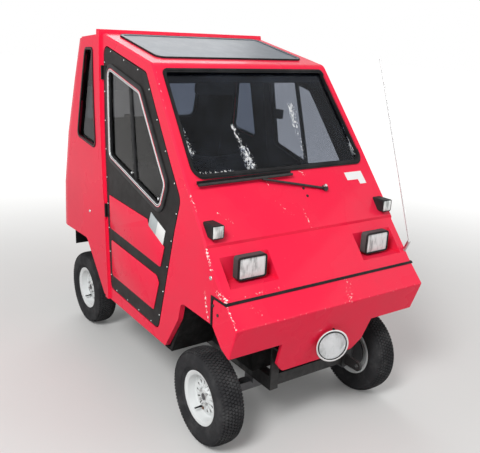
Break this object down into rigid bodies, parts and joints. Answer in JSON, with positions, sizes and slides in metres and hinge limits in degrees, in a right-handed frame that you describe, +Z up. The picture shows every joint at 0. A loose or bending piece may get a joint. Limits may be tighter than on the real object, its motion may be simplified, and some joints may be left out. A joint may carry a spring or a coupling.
{
  "type": "microcar",
  "caption": "Tall narrow two-seat microcar with a wedge nose, flat windscreen, rear-hinged doors, smoked roof panel and small steel wheels; wheels, steering and doors move.",
  "frame": {"origin": "on the floor under the middle of the car's length and width", "axes": "+Z up, -Y the way the car drives, +X the car's left side"},
  "size_m": [1.009, 1.8616, 1.6109],
  "materials": {
    "red_moulding": "gloss",
    "black_paint": "satin",
    "black_rubber": "matt",
    "tyre": "matt",
    "glass": "gloss",
    "smoked_glass": "gloss",
    "white_steel": "gloss",
    "grey_steel": "satin",
    "bright_steel": "satin",
    "chrome": "polished",
    "black_plastic": "matt",
    "grey_plastic": "matt",
    "seat_cloth": "matt",
    "red_lens": "gloss"
  },
  "bodies": {
    "car": {"aerial": "bright_steel", "battery_block": "black_plastic", "body_band": "red_moulding", "bumper_seal": "black_rubber", "chassis_frame": "grey_steel", "dashboard": "black_plastic", "drive_motor": "grey_steel", "floor_pan": "black_paint", "front_axle": "grey_steel", "front_shell": "red_moulding", "headlamp_left": "grey_plastic", "headlamp_right": "grey_plastic", "indicator_left": "black_plastic", "indicator_right": "black_plastic", "interior_mirror": "black_plastic", "nose_bumper": "red_moulding", "quarter_window_left": "smoked_glass", "quarter_window_right": "smoked_glass", "rear_apron": "black_plastic", "rear_axle": "grey_steel", "rear_shell": "red_moulding", "rear_window": "smoked_glass", "seat_back": "seat_cloth", "seat_cushion": "seat_cloth", "spot_lamp": "chrome", "steering_column": "black_paint", "sunroof_panel": "smoked_glass", "tail_lamp_left": "red_lens", "tail_lamp_right": "red_lens", "windscreen_glass": "glass", "windscreen_seal": "black_rubber", "wiper": "black_paint"},
    "knuckle_left": {"knuckle_left": "grey_steel"},
    "wheel_front_left": {"rim_front_left": "white_steel", "tyre_front_left": "tyre"},
    "wheel_rear_left": {"rim_rear_left": "white_steel", "tyre_rear_left": "tyre"},
    "door_left": {"door_glass_left": "glass", "door_left": "red_moulding"},
    "knuckle_right": {"knuckle_right": "grey_steel"},
    "wheel_front_right": {"rim_front_right": "white_steel", "tyre_front_right": "tyre"},
    "wheel_rear_right": {"rim_rear_right": "white_steel", "tyre_rear_right": "tyre"},
    "door_right": {"door_glass_right": "glass", "door_right": "red_moulding"},
    "steering_wheel": {"steering_wheel": "black_plastic"}
  },
  "joints": [
    {"name": "steer_left", "type": "hinge", "parent": "car", "child": "knuckle_left", "pos_m": [0.365, -0.65, 0.202], "axis": [0, 0, 1], "range_deg": [-30, 30]},
    {"name": "spin_front_left", "type": "hinge", "parent": "knuckle_left", "child": "wheel_front_left", "pos_m": [0.422, -0.65, 0.202], "axis": [1, 0, 0], "continuous": true},
    {"name": "spin_rear_left", "type": "hinge", "parent": "car", "child": "wheel_rear_left", "pos_m": [0.378, 0.65, 0.202], "axis": [1, 0, 0], "continuous": true},
    {"name": "door_hinge_left", "type": "hinge", "parent": "car", "child": "door_left", "pos_m": [0.49827, 0.187, 0.784], "axis": [-0.0393, 0.1262, 0.9912], "range_deg": [0, 70]},
    {"name": "steer_right", "type": "hinge", "parent": "car", "child": "knuckle_right", "pos_m": [-0.365, -0.65, 0.202], "axis": [0, 0, 1], "range_deg": [-30, 30]},
    {"name": "spin_front_right", "type": "hinge", "parent": "knuckle_right", "child": "wheel_front_right", "pos_m": [-0.422, -0.65, 0.202], "axis": [1, 0, 0], "continuous": true},
    {"name": "spin_rear_right", "type": "hinge", "parent": "car", "child": "wheel_rear_right", "pos_m": [-0.378, 0.65, 0.202], "axis": [1, 0, 0], "continuous": true},
    {"name": "door_hinge_right", "type": "hinge", "parent": "car", "child": "door_right", "pos_m": [-0.49827, 0.187, 0.784], "axis": [-0.0393, -0.1262, -0.9912], "range_deg": [0, 70]},
    {"name": "steering_wheel_turn", "type": "hinge", "parent": "car", "child": "steering_wheel", "pos_m": [0.205, -0.29, 0.86], "axis": [0, 0.8, 0.6], "range_deg": [-270, 270]}
  ],
  "couplings": [
    {"joint": "steer_right", "follows": "steer_left", "ratio": 1},
    {"joint": "steering_wheel_turn", "follows": "steer_left", "ratio": 9}
  ]
}
